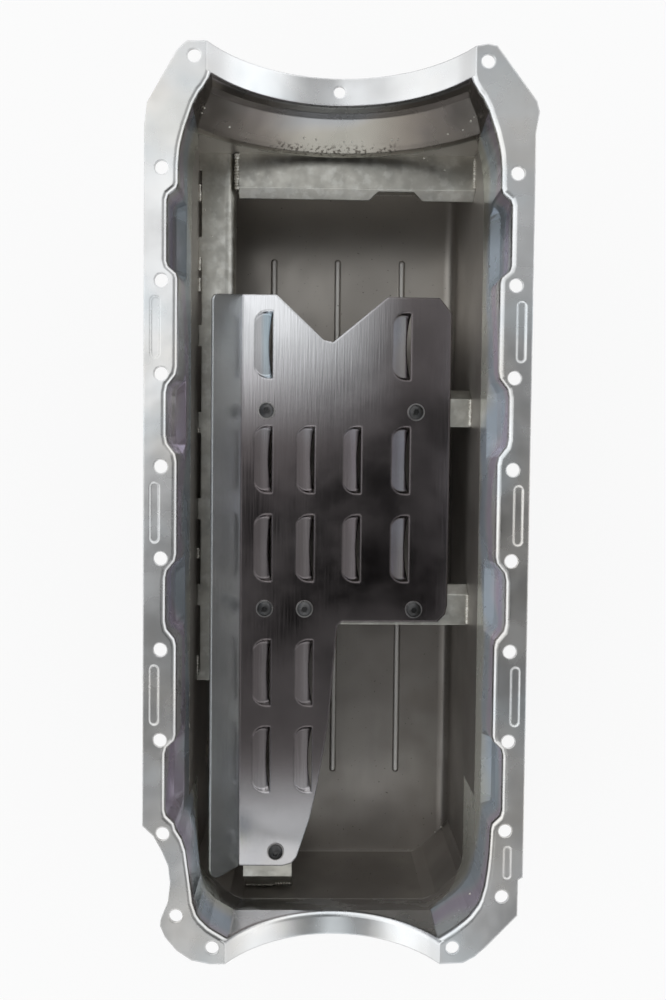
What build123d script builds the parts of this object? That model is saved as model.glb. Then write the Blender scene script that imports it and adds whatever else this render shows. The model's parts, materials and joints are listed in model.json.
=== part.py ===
from build123d import *
import os
from math import sqrt

# Engine oil pan: a stamped upper pan on a fabricated deep sump, with a bolted windage tray.
# Millimetres. +X is the pan's right, +Y its front, +Z up out of the opening.
# The origin is on the rail's top face, in the middle of the bolt rows.

os.makedirs("parts", exist_ok=True)

# Sheets
sheet = 1.5
bar_sheet = 2.0

# Rail and its bolt holes
rail_half = 126.3
rail_front_y = 272.5
rail_rear_y = -330.0
bolt_hole_d = 8.7
bolt_x = 115.0
bolt_pitch = 60.0
front_bolt_y = 192.0
rear_bolt_y = -180.0
ear_bolt = (94.5, 263.0)
end_bolt = (80.0, -319.0)
lone_bolts = [(-113.0, -242.3), (114.0, -240.0), (-104.0, -297.4), (112.4, -284.4)]
saddle_hole_d = 8.0
bend = 3.0
bead_length = 40.0
bead_width = 6.4
bead_depth = 0.9
bead_draft = 40.0
bead_out = 4.0
bead_ys = [90.0, -30.0, -150.0]
lone_bead = (115.8, -261.5)
lone_bead_length = 22.4
lone_bead_width = 5.4

# Seal saddles, arcs about the crankshaft's axis
crank_z = 50.0
front_saddle_r = 100.0
front_strip = 18.5
rear_saddle_r = 87.3
rear_strip = 15.6
ledge_y = 232.0
ledge_r = 133.5
ledge_lip = 5.5

# Skirt of the stamping, and its rod pockets: middle, half of the flat, ramp at each end
wall_x = 104.5
skirt_depth = 60.0
straight_depth = 40.0
rear_skirt_depth = 104.0
rear_skirt_y = -240.0
pocket_recess = 7.2
pocket_depth = 26.0
pocket_slope = 11.0
pocket_ease = 3.0
pockets = [(152.4, 19.4, 11.0), (34.0, 13.6, 17.0), (-87.4, 14.2, 16.0), (-208.2, 18.7, 12.5)]
ramp_steps = [(0.0, 0.0), (0.3, 0.14), (0.7, 0.86), (1.0, 1.0)]
roll_steps = [(0.0, 1.0), (0.13, 0.5), (0.5, 0.13), (1.0, 0.0)]
corner_ease = 5.0
cheek_top = 32.0
feet_y = 199.0

# Sump
sump_depth = 190.0
sump_bend = 9.0
front_plate_y = 237.0
facet_right = (79.5, -314.0)
facet_left = (-74.5, -309.0)
facet_ease = 6.0
rear_plate_y = -339.0
rib_width = 5.4
rib_height = 1.6
rib_draft = 42.0
rib_xs = [-52.0, 3.0, 58.5]
rib_ys = (181.0, -268.0)

# Tray and its flange
tray_depth = 96.0
tray_fold_x = -70.8
flange_reach = 19.4
flange_rise = 27.0
flange_ys = (131.5, -308.7)
flange_slant = 5.5
flange_corners = (6.0, 11.0)

# Louvers pressed down into the tray, each open to the right under a straight cut
louver_length = 51.8
louver_width = 13.8
louver_depth = 5.0
louver_corner = 10.0
louver_draft = 38.0
louver_slit = 2.9
louver_chord = 48.0
louver_columns = [-54.7, -22.3, 13.3, 50.5]
louver_rows = [(93.6, (0, 3)), (6.6, (0, 1, 2, 3)), (-61.3, (0, 1, 2, 3)), (-157.9, (0, 1)), (-225.5, (0, 1))]

# Crossbars and bracket under the tray, with their screws: across, and in from the rear edge or fold
bar_ys = [(32.8, 61.5), (-120.0, -89.0)]
bar_leg = 7.5
bar_screw_xs = [(-52.3, 61.9), (-52.7, -22.0, 62.0)]
bar_screw_in = [10.8, 12.0]
bracket_xs = (-68.0, -30.0)
bracket_front_y = -284.0
bracket_fold_y = -318.0
bracket_drop = 28.0
tail_screw_x = -42.7
tail_screw_in = 20.4

# Baffles
side_baffle_x = -77.0
side_baffle_y = -164.0
shelf_drop = 1.0
side_lip = 9.0
slit_width = 2.2
slit_length = 50.0
slit_pitch = 66.0
front_baffle_x = -74.6
front_fold_y = 211.5
front_lip = 8.0
notch_xs = (23.0, 31.0, 58.0, 67.0)
notch_depth = 5.0

# Screws that hold the tray
screw_d = 6.35
screw_head_d = 11.1
screw_head_h = 3.3
head_rim = 1.0
head_top_d = 7.4
screw_length = 12.7
socket_flats = 4.0
socket_depth = 2.0
clearance_hole_d = 6.9
washer_d = 13.2
washer_t = 1.0
nut_flats = 11.1
nut_h = 5.4
thread_gap = 0.05

# Drain, low on the left wall near the rear
drain_y = -240.0
drain_height = 26.0
bung_d = 27.0
bung_out = 7.0
plug_d = 14.0
plug_length = 11.0
plug_flats = 17.0
plug_head_h = 6.0
plug_washer_d = 22.0
plug_washer_t = 1.5

# Sizes that follow
front_ring_y = rail_front_y - front_strip
rear_ring_y = rail_rear_y + rear_strip
tray_under = tray_depth + sheet
shelf_depth = tray_depth + shelf_drop
beyond = 4 * wall_x
bar_screws = [[(x, ys[0] + inset) for x in xs] for ys, xs, inset in zip(bar_ys, bar_screw_xs, bar_screw_in)]
tail_screws = [(tail_screw_x, bracket_fold_y + tail_screw_in)]
screw_spots = bar_screws[0] + bar_screws[1] + tail_screws

# The opening's corners at the rail, and the same corners lower down, clockwise from the front right
top_line = [(84.0, front_ring_y), (86.0, 247.0), (93.5, 238.0), (102.0, 213.5), (wall_x, 199.0),
            (wall_x, rear_skirt_y), (103.5, -262.0), (100.5, -283.0), (95.5, -294.5), (84.5, -305.0),
            (70.0, rear_ring_y), (-69.0, rear_ring_y), (-75.5, -310.6), (-86.1, -303.9), (-92.7, -293.8),
            (-94.6, -277.2), (-98.5, -249.5), (-wall_x, rear_skirt_y), (-wall_x, 199.0), (-102.0, 213.5),
            (-93.5, 238.0), (-86.0, 247.0), (-84.0, front_ring_y)]
mid_line = [(86.0, front_ring_y), (90.0, 248.0), (96.0, 238.0), (102.8, 215.0), (wall_x, 199.0)] + top_line[5:18]
mid_line += [(-x, y) for x, y in mid_line[4::-1]]
low_front = [(100.5, front_ring_y), (wall_x, 246.0), (wall_x, 236.0), (wall_x, 215.0), (wall_x, 199.0)]
strip_corners = (0, 10, 11, 22)
right_wall_starts, left_wall_starts = 4, 17


def cut_corner(before, corner, after, reach):
    """Two points in a corner's place, this far along each side, or a third of a short side."""
    made = []
    for other in (before, after):
        away_x, away_y = other[0] - corner[0], other[1] - corner[1]
        share = min(reach / sqrt(away_x ** 2 + away_y ** 2), 0.33)
        made.append((corner[0] + share * away_x, corner[1] + share * away_y))
    return made


right_side, right_rear = (wall_x, facet_right[1]), (facet_right[0], rear_plate_y)
left_rear, left_side = (facet_left[0], rear_plate_y), (-wall_x, facet_left[1])
sump_corners = cut_corner((wall_x, 0), right_side, right_rear, facet_ease)
sump_corners += cut_corner(right_side, right_rear, (0, rear_plate_y), facet_ease)
sump_corners += cut_corner((0, rear_plate_y), left_rear, left_side, facet_ease)
sump_corners += cut_corner(left_rear, left_side, (-wall_x, 0), facet_ease)
low_line = low_front + [(wall_x, rear_skirt_y), (wall_x, -275.0)] + sump_corners
low_line += [(-wall_x, -282.0), (-wall_x, -260.0), (-wall_x, rear_skirt_y)] + [(-x, y) for x, y in low_front[::-1]]


def pocket_corners(side, share):
    """The pockets' corners along one long wall, front to rear, with an S for each ramp."""
    corners = []
    for y_mid, flat_half, ramp in pockets:
        for end in (1, -1):
            for along, out in ramp_steps[::end]:
                x = wall_x + share * out * pocket_recess
                corners.append((side * x, y_mid + end * (flat_half + ramp * (1 - along))))
    return corners


def opening_line(depth, share):
    """The opening's outline at a depth, its corners eased, with this share of the pockets' recess."""
    upper, lower, above, below = top_line, mid_line, 0, straight_depth
    if depth > straight_depth:
        upper, lower, above, below = mid_line, low_line, straight_depth, rear_skirt_depth
    part = (depth - above) / (below - above)
    line = [(a + part * (c - a), b + part * (d - b)) for (a, b), (c, d) in zip(upper, lower)]
    corners = []
    for here, corner in enumerate(line):
        if here in strip_corners or here in (right_wall_starts + 1, left_wall_starts):
            corners.append(corner)
        else:
            corners += cut_corner(line[here - 1], corner, line[here + 1], corner_ease)
        if here == right_wall_starts:
            corners += pocket_corners(1, share)
        if here == left_wall_starts:
            corners += pocket_corners(-1, share)[::-1]
    return corners


def grown(points, grow):
    """The clockwise outline moved outward by a wall's thickness, corner by corner."""
    moved = []
    for here, (x, y) in enumerate(points):
        (ax, ay), (bx, by) = points[here - 1], points[(here + 1) % len(points)]
        first, second = sqrt((x - ax) ** 2 + (y - ay) ** 2), sqrt((bx - x) ** 2 + (by - y) ** 2)
        px, py = (ay - y) / first, (x - ax) / first
        qx, qy = (y - by) / second, (bx - x) / second
        share = grow / (1 + px * qx + py * qy)
        moved.append((x + share * (px + qx), y + share * (py + qy)))
    return moved


def stacked(levels):
    """A solid whose sides join the same corners from one level's outline to the next."""
    faces = [Face(Wire.make_polygon([(x, y, levels[0][0]) for x, y in levels[0][1]])),
             Face(Wire.make_polygon([(x, y, levels[-1][0]) for x, y in levels[-1][1]]))]
    for (z_high, high), (z_low, low) in zip(levels, levels[1:]):
        for here in range(len(high)):
            after = (here + 1) % len(high)
            a, b = (*high[here], z_high), (*high[after], z_high)
            c, d = (*low[after], z_low), (*low[here], z_low)
            along, below = (b[0] - a[0], b[1] - a[1]), (c[0] - d[0], c[1] - d[1])
            if abs(along[0] * below[1] - along[1] * below[0]) < 1e-6:
                faces.append(Face(Wire.make_polygon([a, b, c, d])))
            else:
                faces.append(Face(Wire.make_polygon([a, b, c])))
                faces.append(Face(Wire.make_polygon([a, c, d])))
    return Solid(Shell(faces))


def rolled_edge(radius, bend_by):
    """Corners, out and along, that round a rolled edge this far from the crankshaft's axis."""
    return [(out * bend_by, -radius - down * bend_by) for down, out in roll_steps[::-1]]


def ledge_space(grow, bend_by):
    """The space above the rolled ledge under the front saddle, about the crankshaft's axis."""
    edge = [(front_ring_y, crank_z - front_saddle_r)]
    if bend_by:
        edge = [(front_ring_y + out, crank_z + up) for out, up in rolled_edge(front_saddle_r, bend_by)]
    with BuildPart() as turned:
        with BuildSketch(Plane.YZ):
            with BuildLine():
                Polyline((ledge_y, crank_z), (ledge_y, crank_z - ledge_r - ledge_lip),
                         (ledge_y + 0.8, crank_z - ledge_r + 0.6), (ledge_y + 3.2, crank_z - ledge_r + 3.2),
                         (front_ring_y - 3.6, crank_z - front_saddle_r - 15.0),
                         (front_ring_y - 1.2, crank_z - front_saddle_r - 10.5),
                         (front_ring_y, crank_z - front_saddle_r - 4.0), *edge, (edge[-1][0], crank_z), close=True)
            make_face()
            if grow:
                offset(amount=grow, kind=Kind.INTERSECTION)
            with Locations((ledge_y, crank_z)):
                Rectangle(beyond, beyond, align=(Align.MIN, Align.MAX), mode=Mode.INTERSECT)
            with Locations((ledge_y, crank_z - ledge_r - ledge_lip)):
                Rectangle(beyond, beyond, align=(Align.MIN, Align.MIN), mode=Mode.INTERSECT)
        revolve(axis=Axis((0, 0, crank_z), (0, 1, 0)))
    return turned.part


def depth_space(grow, bend_by):
    """How far down the stamping reaches: its skirt, its flared rear end and its ledge."""
    with BuildPart() as depths:
        with Locations((0, ledge_y, 0)):
            Box(beyond, ledge_y - rear_skirt_y, skirt_depth, align=(Align.CENTER, Align.MAX, Align.MAX))
        with Locations((0, rear_skirt_y, 0)):
            Box(beyond, beyond, rear_skirt_depth, align=(Align.CENTER, Align.MAX, Align.MAX))
        add(ledge_space(grow, bend_by))
    return depths.part


def hull(grow, bend_by):
    """Everything between the walls, full depth all round, grown by a wall's thickness, its top edge rolled."""
    rolled = [(down * bend_by, 1.0, out * bend_by) for down, out in roll_steps]
    pocket_floor = [(pocket_depth - pocket_ease, 1.0, 0.0), (pocket_depth + pocket_ease, 0.78, 0.0),
                    (pocket_depth + pocket_slope, 0.0, 0.0)]
    ends = [(straight_depth, 0.0, 0.0), (rear_skirt_depth, 0.0, 0.0)]
    steps = (rolled if bend_by else rolled[:1]) + pocket_floor + ends
    return stacked([(-depth, grown(opening_line(depth, share), grow + more)) for depth, share, more in steps])


def well(walls, grow, bend_by):
    """The space inside the stamping, only as deep as each part of it reaches."""
    with BuildPart() as space:
        add(walls)
        add(depth_space(grow, bend_by), mode=Mode.INTERSECT)
    return space.part


def cheeks():
    """The side walls' short run from the ledge to the sump's front plate, and their turned-out feet."""
    with BuildPart() as pair:
        with Locations((0, front_plate_y, -skirt_depth)):
            Box(2 * wall_x, front_plate_y - ledge_y, skirt_depth - cheek_top, align=(Align.CENTER, Align.MAX, Align.MIN))
        add(outer_hull, mode=Mode.INTERSECT)
        with Locations((0, front_plate_y, -skirt_depth)):
            Box(2 * (wall_x + sheet), front_plate_y - feet_y, sheet, align=(Align.CENTER, Align.MAX, Align.MIN))
        add(inner_hull, mode=Mode.SUBTRACT)
    return pair.part


def saddle_strip(radius, y_front, length, thick):
    """A strip of the seal saddle, or the round space over it when no thickness is given."""
    with BuildPart() as strip:
        with BuildSketch(Plane.XZ.offset(-y_front)):
            with Locations((0, crank_z)):
                Circle(radius + thick)
                if thick:
                    Circle(radius, mode=Mode.SUBTRACT)
            Rectangle(2 * rail_half, 200, align=(Align.CENTER, Align.MAX), mode=Mode.INTERSECT)
        extrude(amount=length)
    return strip.part


def bores(spots, diameter, z_top, depth):
    """Round bores down from a height, to be cut away."""
    with BuildPart() as pins:
        with BuildSketch(Plane.XY.offset(z_top)):
            with Locations(*spots):
                Circle(diameter / 2)
        extrude(amount=-depth)
    return pins.part


def folded(section, x_start, x_end):
    """A bent strip with this section in Y and Z, running along X."""
    with BuildPart() as strip:
        with BuildSketch(Plane.YZ.offset(x_start)):
            with BuildLine():
                Polyline(*section, close=True)
            make_face()
        extrude(amount=x_end - x_start)
    return strip.part


def trough(grow, top_z):
    """The sump's U-shaped space along Y, grown outward by a wall's thickness."""
    with BuildPart() as space:
        with BuildSketch(Plane.XZ.offset(-front_plate_y - sheet)) as cross:
            with Locations((0, -sump_depth - grow)):
                Rectangle(2 * (wall_x + grow), sump_depth + grow + top_z, align=(Align.CENTER, Align.MIN))
            fillet(cross.vertices().sort_by(Axis.Y)[:2], sump_bend + grow)
        extrude(amount=front_plate_y - rear_plate_y + 2 * sheet)
    return space.part


def bolt_rows():
    """Every bolt hole in the rail."""
    rows = [front_bolt_y, rear_bolt_y] + [step * bolt_pitch for step in range(-2, 3)]
    spots = [(side * bolt_x, y) for side in (1, -1) for y in rows]
    spots += [(side * x, y) for side in (1, -1) for x, y in (ear_bolt, end_bolt)]
    return spots + lone_bolts


rail_line = [(87.3, 272.6), (94.2, 274.0), (100.1, 272.8), (126.5, 238.2), (128.4, 231.4), (126.1, 217.6),
             (rail_half, 200.0), (rail_half, -271.2), (123.3, -272.9), (123.1, -297.1), (116.6, -303.8),
             (102.4, -318.5), (94.7, -325.2), (87.0, -329.3), (72.6, rail_rear_y), (-70.6, rail_rear_y),
             (-81.5, rail_rear_y), (-93.6, -327.4), (-103.5, -320.7), (-111.2, -311.6), (-114.5, -303.9),
             (-114.0, -299.4), (-109.2, -287.1), (-108.0, -274.8), (-109.3, -263.8), (-113.6, -253.7),
             (-119.1, -243.7), (-rail_half, -237.0), (-rail_half, 217.0), (-124.6, 232.8), (-105.2, 266.8),
             (-99.1, 272.2), (-88.3, rail_front_y)]
inner_hull = hull(0, bend)
outer_hull = hull(sheet, 0)
inside = well(inner_hull, 0, bend)
outside = well(outer_hull, sheet, 0)

# Stamped upper pan
with BuildPart() as pan_body:
    add(outside)
    with BuildSketch():
        with BuildLine():
            Polyline(*rail_line, close=True)
        make_face()
    extrude(amount=-sheet)
    add(saddle_strip(front_saddle_r, rail_front_y, front_strip, sheet))
    add(saddle_strip(rear_saddle_r, rear_ring_y, rear_strip, sheet))
    add(inside, mode=Mode.SUBTRACT)
    add(saddle_strip(front_saddle_r, rail_front_y + 5, front_strip + 5, 0), mode=Mode.SUBTRACT)
    add(saddle_strip(rear_saddle_r, rear_ring_y, rear_strip + 5, 0), mode=Mode.SUBTRACT)
    with BuildSketch(Plane.YZ):
        with BuildLine():
            edge = [(rear_ring_y - out, crank_z + up) for out, up in rolled_edge(rear_saddle_r, bend)]
            Polyline(*edge, (rear_ring_y, crank_z - rear_saddle_r), close=True)
        make_face()
    revolve(axis=Axis((0, 0, crank_z), (0, 1, 0)), mode=Mode.SUBTRACT)
    add(cheeks())
    add(bores(bolt_rows(), bolt_hole_d, 1, 5), mode=Mode.SUBTRACT)
    add(bores([(0, (rail_front_y + front_ring_y) / 2)], saddle_hole_d, crank_z - front_saddle_r + 5, 10),
        mode=Mode.SUBTRACT)
    with BuildSketch():
        with Locations(*[(side * (bolt_x + bead_out), y) for side in (1, -1) for y in bead_ys]):
            SlotOverall(bead_length, bead_width, rotation=90)
        with Locations(lone_bead):
            SlotOverall(lone_bead_length, lone_bead_width, rotation=90)
    extrude(amount=-bead_depth, taper=bead_draft, mode=Mode.SUBTRACT)

# Deep sump: one bent sheet for floor and sides, with pressed floor ribs
sump_line = [(wall_x, front_ring_y)] + sump_corners + [(-wall_x, front_ring_y)]
with BuildPart() as sump_shell:
    add(trough(sheet, -skirt_depth))
    add(trough(0, -skirt_depth), mode=Mode.SUBTRACT)
    with BuildSketch(Plane.XY.offset(-sump_depth - 2 * sheet)):
        with BuildLine():
            Polyline(*grown(sump_line, sheet), close=True)
        make_face()
    extrude(amount=sump_depth, mode=Mode.INTERSECT)
    with Locations((0, rear_skirt_y, -rear_skirt_depth)):
        Box(beyond, beyond, sump_depth, align=(Align.CENTER, Align.MAX, Align.MIN), mode=Mode.SUBTRACT)
    for width, z_low, mode in ((rib_width, -sump_depth, Mode.ADD),
                               (rib_width - sheet, -sump_depth - sheet, Mode.SUBTRACT)):
        with BuildSketch(Plane.XY.offset(z_low)):
            with Locations(*[(x, sum(rib_ys) / 2) for x in rib_xs]):
                SlotOverall(rib_ys[0] - rib_ys[1], width, rotation=90)
        extrude(amount=rib_height, taper=rib_draft, mode=mode)
    with Locations((-wall_x - sheet / 2, drain_y, -sump_depth + drain_height)):
        Cylinder(bung_d / 2, 3 * sheet, rotation=(0, 90, 0), mode=Mode.SUBTRACT)

with BuildPart() as sump_front_wall:
    with Locations((0, front_plate_y, -skirt_depth)):
        Box(2 * wall_x, sheet, skirt_depth - cheek_top, align=(Align.CENTER, Align.MIN, Align.MIN))
    add(outer_hull, mode=Mode.INTERSECT)
    with Locations((0, front_plate_y, -sump_depth)):
        Box(2 * wall_x, sheet, sump_depth - skirt_depth, align=(Align.CENTER, Align.MIN, Align.MIN))
    add(trough(0, 0), mode=Mode.INTERSECT)
    add(outside, mode=Mode.SUBTRACT)

with BuildPart() as sump_rear_wall:
    with BuildSketch(Plane.XY.offset(-sump_depth)):
        with BuildLine():
            Polyline(*grown(sump_line, sheet), close=True)
        make_face()
        with BuildLine():
            Polyline(*sump_line, close=True)
        make_face(mode=Mode.SUBTRACT)
        Rectangle(beyond, beyond, align=(Align.CENTER, Align.MAX), mode=Mode.INTERSECT)
    extrude(amount=sump_depth - rear_skirt_depth)
    add(trough(0, 0), mode=Mode.INTERSECT)

# Shelf down the left wall, rolled down along its inner edge
with BuildPart() as side_envelope:
    with BuildSketch(Plane.XZ.offset(-front_plate_y)) as cross:
        with Locations((-wall_x, -shelf_depth)):
            Rectangle(wall_x + side_baffle_x, side_lip, align=(Align.MIN, Align.MAX))
        fillet(cross.vertices().group_by(Axis.X)[-1].sort_by(Axis.Y)[-1], side_lip - 1)
    extrude(amount=front_plate_y - side_baffle_y)

with BuildPart() as side_baffle:
    add(side_envelope.part)
    with BuildSketch(Plane.XZ.offset(-front_plate_y)) as cross:
        with Locations((-wall_x, -shelf_depth - sheet)):
            Rectangle(wall_x + side_baffle_x - sheet, side_lip, align=(Align.MIN, Align.MAX))
        fillet(cross.vertices().group_by(Axis.X)[-1].sort_by(Axis.Y)[-1], side_lip - 1 - sheet)
    extrude(amount=front_plate_y - side_baffle_y, mode=Mode.SUBTRACT)
    slits = int((front_plate_y - side_baffle_y) / slit_pitch)
    with BuildSketch(Plane.XY.offset(-shelf_depth - 2 * sheet)):
        with Locations(*[(-wall_x + slit_width / 2, side_baffle_y + slit_pitch * (n + 0.5)) for n in range(slits)]):
            Rectangle(slit_width, slit_length)
    extrude(amount=4 * sheet, mode=Mode.SUBTRACT)

# Plate across the front, folded down behind and notched
front_top = 1 - tray_depth
lip_y = front_fold_y - front_lip * 0.8
with BuildPart() as front_baffle:
    add(folded([(front_plate_y, front_top), (front_fold_y, front_top), (lip_y, front_top - front_lip),
                (lip_y + 1.2, front_top - front_lip - 0.9), (front_fold_y + 0.8, front_top - sheet),
                (front_plate_y, front_top - sheet)], front_baffle_x, wall_x))
    with BuildSketch(Plane.XY.offset(front_top - 2 * front_lip)):
        with BuildLine():
            Polyline((notch_xs[0], lip_y - 1), (notch_xs[1], lip_y + notch_depth), (notch_xs[2], lip_y + notch_depth),
                     (notch_xs[3], lip_y - 1), close=True)
        make_face()
    extrude(amount=3 * front_lip, mode=Mode.SUBTRACT)


def crossbar(y_rear, y_front, screws):
    """A bent strip under the tray, from the shelf's rolled edge to the right wall."""
    fold = y_front - bar_leg
    low = -tray_under - bar_sheet
    with BuildPart() as bar:
        add(folded([(y_rear, -tray_under), (fold, -tray_under), (y_front, -tray_under - bar_leg),
                    (y_front - 1.4, -tray_under - bar_leg - 1.4), (fold - 0.8, low), (y_rear, low)],
                   side_baffle_x - side_lip, wall_x))
        add(side_envelope.part, mode=Mode.SUBTRACT)
        add(bores(screws, clearance_hole_d, 0, 2 * tray_depth), mode=Mode.SUBTRACT)
    return bar.part


with BuildPart() as front_crossbar:
    add(crossbar(*bar_ys[0], bar_screws[0]))
with BuildPart() as rear_crossbar:
    add(crossbar(*bar_ys[1], bar_screws[1]))

# Tab under the tray's tail, bent down to the rear wall
drop_z = -tray_under - bracket_drop
with BuildPart() as tray_bracket:
    add(folded([(bracket_front_y, -tray_under), (bracket_fold_y, -tray_under), (rear_plate_y, drop_z),
                (rear_plate_y, drop_z - 3.3), (bracket_fold_y + 1, -tray_under - bar_sheet),
                (bracket_front_y, -tray_under - bar_sheet)], *bracket_xs))
    add(bores(tail_screws, clearance_hole_d, 0, 2 * tray_depth), mode=Mode.SUBTRACT)

# Windage tray: thin sheet, pressed louvers, long flange
tray_line = [(tray_fold_x, flange_ys[0]), (-45.0, 131.5), (-9.0, 97.7), (-2.2, 96.2), (39.3, 130.8), (79.0, 130.6),
             (88.3, 119.4), (88.0, -104.3), (86.5, -111.5), (80.4, -117.5), (6.6, -118.0), (3.2, -121.4), (0.8, -151.0),
             (-1.0, -176.0), (-3.4, -200.0), (-7.4, -225.0), (-11.4, -248.0), (-16.6, -272.0), (-26.5, -302.2),
             (-30.5, -307.0), (-37.6, -309.0), (tray_fold_x, flange_ys[1])]
louver_spots = [(louver_columns[column] + louver_width / 2, y) for y, columns in louver_rows for column in columns]
flange_length = sqrt(flange_reach ** 2 + flange_rise ** 2)
normal = (flange_rise / flange_length, flange_reach / flange_length)
middle = sqrt((1 + normal[1]) / 2)


def louver_dish(z_top):
    """A blade's dish: round steep ends, and a flat that slopes from its left side down to its cut edge."""
    with BuildPart() as dish:
        with BuildSketch(Plane.XY.offset(z_top)):
            RectangleRounded(2 * louver_width, louver_length, louver_corner)
        extrude(amount=-louver_depth, taper=louver_draft)
        with BuildSketch(Plane.XZ.offset(-louver_length)):
            with BuildLine():
                Polyline((-louver_width, z_top), (0, z_top), (0, z_top - louver_depth), close=True)
            make_face()
        extrude(amount=2 * louver_length, mode=Mode.INTERSECT)
    return dish.part


def louver_gap(z_top):
    """The open sliver along a louver's cut, widest in the middle where the blade's edge bows away."""
    arc_r = (louver_chord ** 2 / 4 + louver_slit ** 2) / (2 * louver_slit)
    with BuildPart() as gap:
        with BuildSketch(Plane.XY.offset(z_top)):
            with Locations((arc_r - louver_slit, 0)):
                Circle(arc_r)
            Rectangle(2 * louver_slit, louver_chord, align=(Align.MAX, Align.CENTER), mode=Mode.INTERSECT)
        extrude(amount=-4 * louver_depth)
    return gap.part


with BuildPart() as windage_tray:
    with BuildSketch(Plane.XY.offset(-tray_depth)):
        with BuildLine():
            Polyline(*tray_line, close=True)
        make_face()
    extrude(amount=-sheet)
    flange_plane = Plane(origin=(tray_fold_x, 0, -tray_depth), x_dir=(0, 1, 0), z_dir=(normal[0], 0, normal[1]))
    with BuildSketch(flange_plane) as flange:
        with BuildLine():
            Polyline((flange_ys[0], 0), (flange_ys[0] - flange_slant, flange_length), (flange_ys[1], flange_length),
                     (flange_ys[1], 0), close=True)
        make_face()
        fillet(flange.vertices().sort_by(Axis.Y)[-2:].sort_by(Axis.X)[-1], flange_corners[0])
        fillet(flange.vertices().group_by(Axis.X)[0].sort_by(Axis.Y)[-1], flange_corners[1])
    extrude(amount=-sheet)
    with BuildSketch(Plane.XZ.offset(-flange_ys[0])):
        with BuildLine():
            Polyline((tray_fold_x, -tray_depth), (tray_fold_x, -tray_under),
                     (tray_fold_x - sheet * normal[0] / 2 / middle, -tray_depth - sheet * (1 + normal[1]) / 2 / middle),
                     (tray_fold_x - sheet * normal[0], -tray_depth - sheet * normal[1]), close=True)
        make_face()
    extrude(amount=flange_ys[0] - flange_ys[1])
    with Locations(*louver_spots):
        add(louver_dish(-tray_under))
        add(louver_dish(-tray_depth), mode=Mode.SUBTRACT)
        add(louver_gap(1 - tray_depth), mode=Mode.SUBTRACT)
    add(bores(screw_spots, clearance_hole_d, 0, 2 * tray_depth), mode=Mode.SUBTRACT)


def washer(x, y, z_low, outer_d, inner_d, thick):
    """A flat washer lying at a height."""
    with BuildPart() as ring:
        with BuildSketch(Plane.XY.offset(z_low)):
            with Locations((x, y)):
                Circle(outer_d / 2)
                Circle(inner_d / 2, mode=Mode.SUBTRACT)
        extrude(amount=thick)
    return ring.part


def button_screw(x, y, z_seat):
    """A button-head socket screw, seated under its head at a height."""
    with BuildPart() as screw:
        with Locations((x, y, z_seat)):
            Cylinder(screw_head_d / 2, head_rim, align=(Align.CENTER, Align.CENTER, Align.MIN))
            Cylinder(screw_d / 2, screw_length, align=(Align.CENTER, Align.CENTER, Align.MAX))
        with Locations((x, y, z_seat + head_rim)):
            Cone(screw_head_d / 2, head_top_d / 2, screw_head_h - head_rim, align=(Align.CENTER, Align.CENTER, Align.MIN))
        with BuildSketch(Plane.XY.offset(z_seat + screw_head_h)):
            with Locations((x, y)):
                RegularPolygon(socket_flats / 2, 6, major_radius=False)
        extrude(amount=-socket_depth, mode=Mode.SUBTRACT)
    return screw.part


def weld_nut(x, y, z_top):
    """A hex nut hanging under the bar."""
    with BuildPart() as nut:
        with BuildSketch(Plane.XY.offset(z_top)):
            with Locations((x, y)):
                RegularPolygon(nut_flats / 2, 6, major_radius=False)
                Circle(screw_d / 2 + thread_gap, mode=Mode.SUBTRACT)
        extrude(amount=-nut_h)
    return nut.part


# Drain: bung through the wall, washer and hex plug outside
side_plane = Plane(origin=(-wall_x, drain_y, -sump_depth + drain_height), x_dir=(0, -1, 0), z_dir=(-1, 0, 0))


def drain_ring(start, length, outer_d, inner_d):
    """A ring on the drain's axis, starting this far out from the wall's inner face."""
    with BuildPart() as ring:
        with BuildSketch(side_plane.offset(start)):
            Circle(outer_d / 2)
            if inner_d:
                Circle(inner_d / 2, mode=Mode.SUBTRACT)
        extrude(amount=length)
    return ring.part


bung_end = sheet + bung_out
with BuildPart() as drain_bung:
    add(drain_ring(0, bung_end, bung_d, plug_d + 2 * thread_gap))
with BuildPart() as drain_washer:
    add(drain_ring(bung_end, plug_washer_t, plug_washer_d, plug_d + 2 * thread_gap))
with BuildPart() as drain_plug:
    add(drain_ring(bung_end + plug_washer_t - plug_length, plug_length, plug_d, 0))
    with BuildSketch(side_plane.offset(bung_end + plug_washer_t)):
        RegularPolygon(plug_flats / 2, 6, major_radius=False)
    extrude(amount=plug_head_h)

pan_body.part.label = "pan_body"
export_step(pan_body.part, "parts/pan_body.step")
sump_shell.part.label = "sump_shell"
export_step(sump_shell.part, "parts/sump_shell.step")
sump_front_wall.part.label = "sump_front_wall"
export_step(sump_front_wall.part, "parts/sump_front_wall.step")
sump_rear_wall.part.label = "sump_rear_wall"
export_step(sump_rear_wall.part, "parts/sump_rear_wall.step")
front_baffle.part.label = "front_baffle"
export_step(front_baffle.part, "parts/front_baffle.step")
side_baffle.part.label = "side_baffle"
export_step(side_baffle.part, "parts/side_baffle.step")
front_crossbar.part.label = "front_crossbar"
export_step(front_crossbar.part, "parts/front_crossbar.step")
rear_crossbar.part.label = "rear_crossbar"
export_step(rear_crossbar.part, "parts/rear_crossbar.step")
tray_bracket.part.label = "tray_bracket"
export_step(tray_bracket.part, "parts/tray_bracket.step")
windage_tray.part.label = "windage_tray"
export_step(windage_tray.part, "parts/windage_tray.step")
drain_bung.part.label = "drain_bung"
export_step(drain_bung.part, "parts/drain_bung.step")
drain_plug.part.label = "drain_plug"
export_step(drain_plug.part, "parts/drain_plug.step")
drain_washer.part.label = "drain_washer"
export_step(drain_washer.part, "parts/drain_washer.step")

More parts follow.
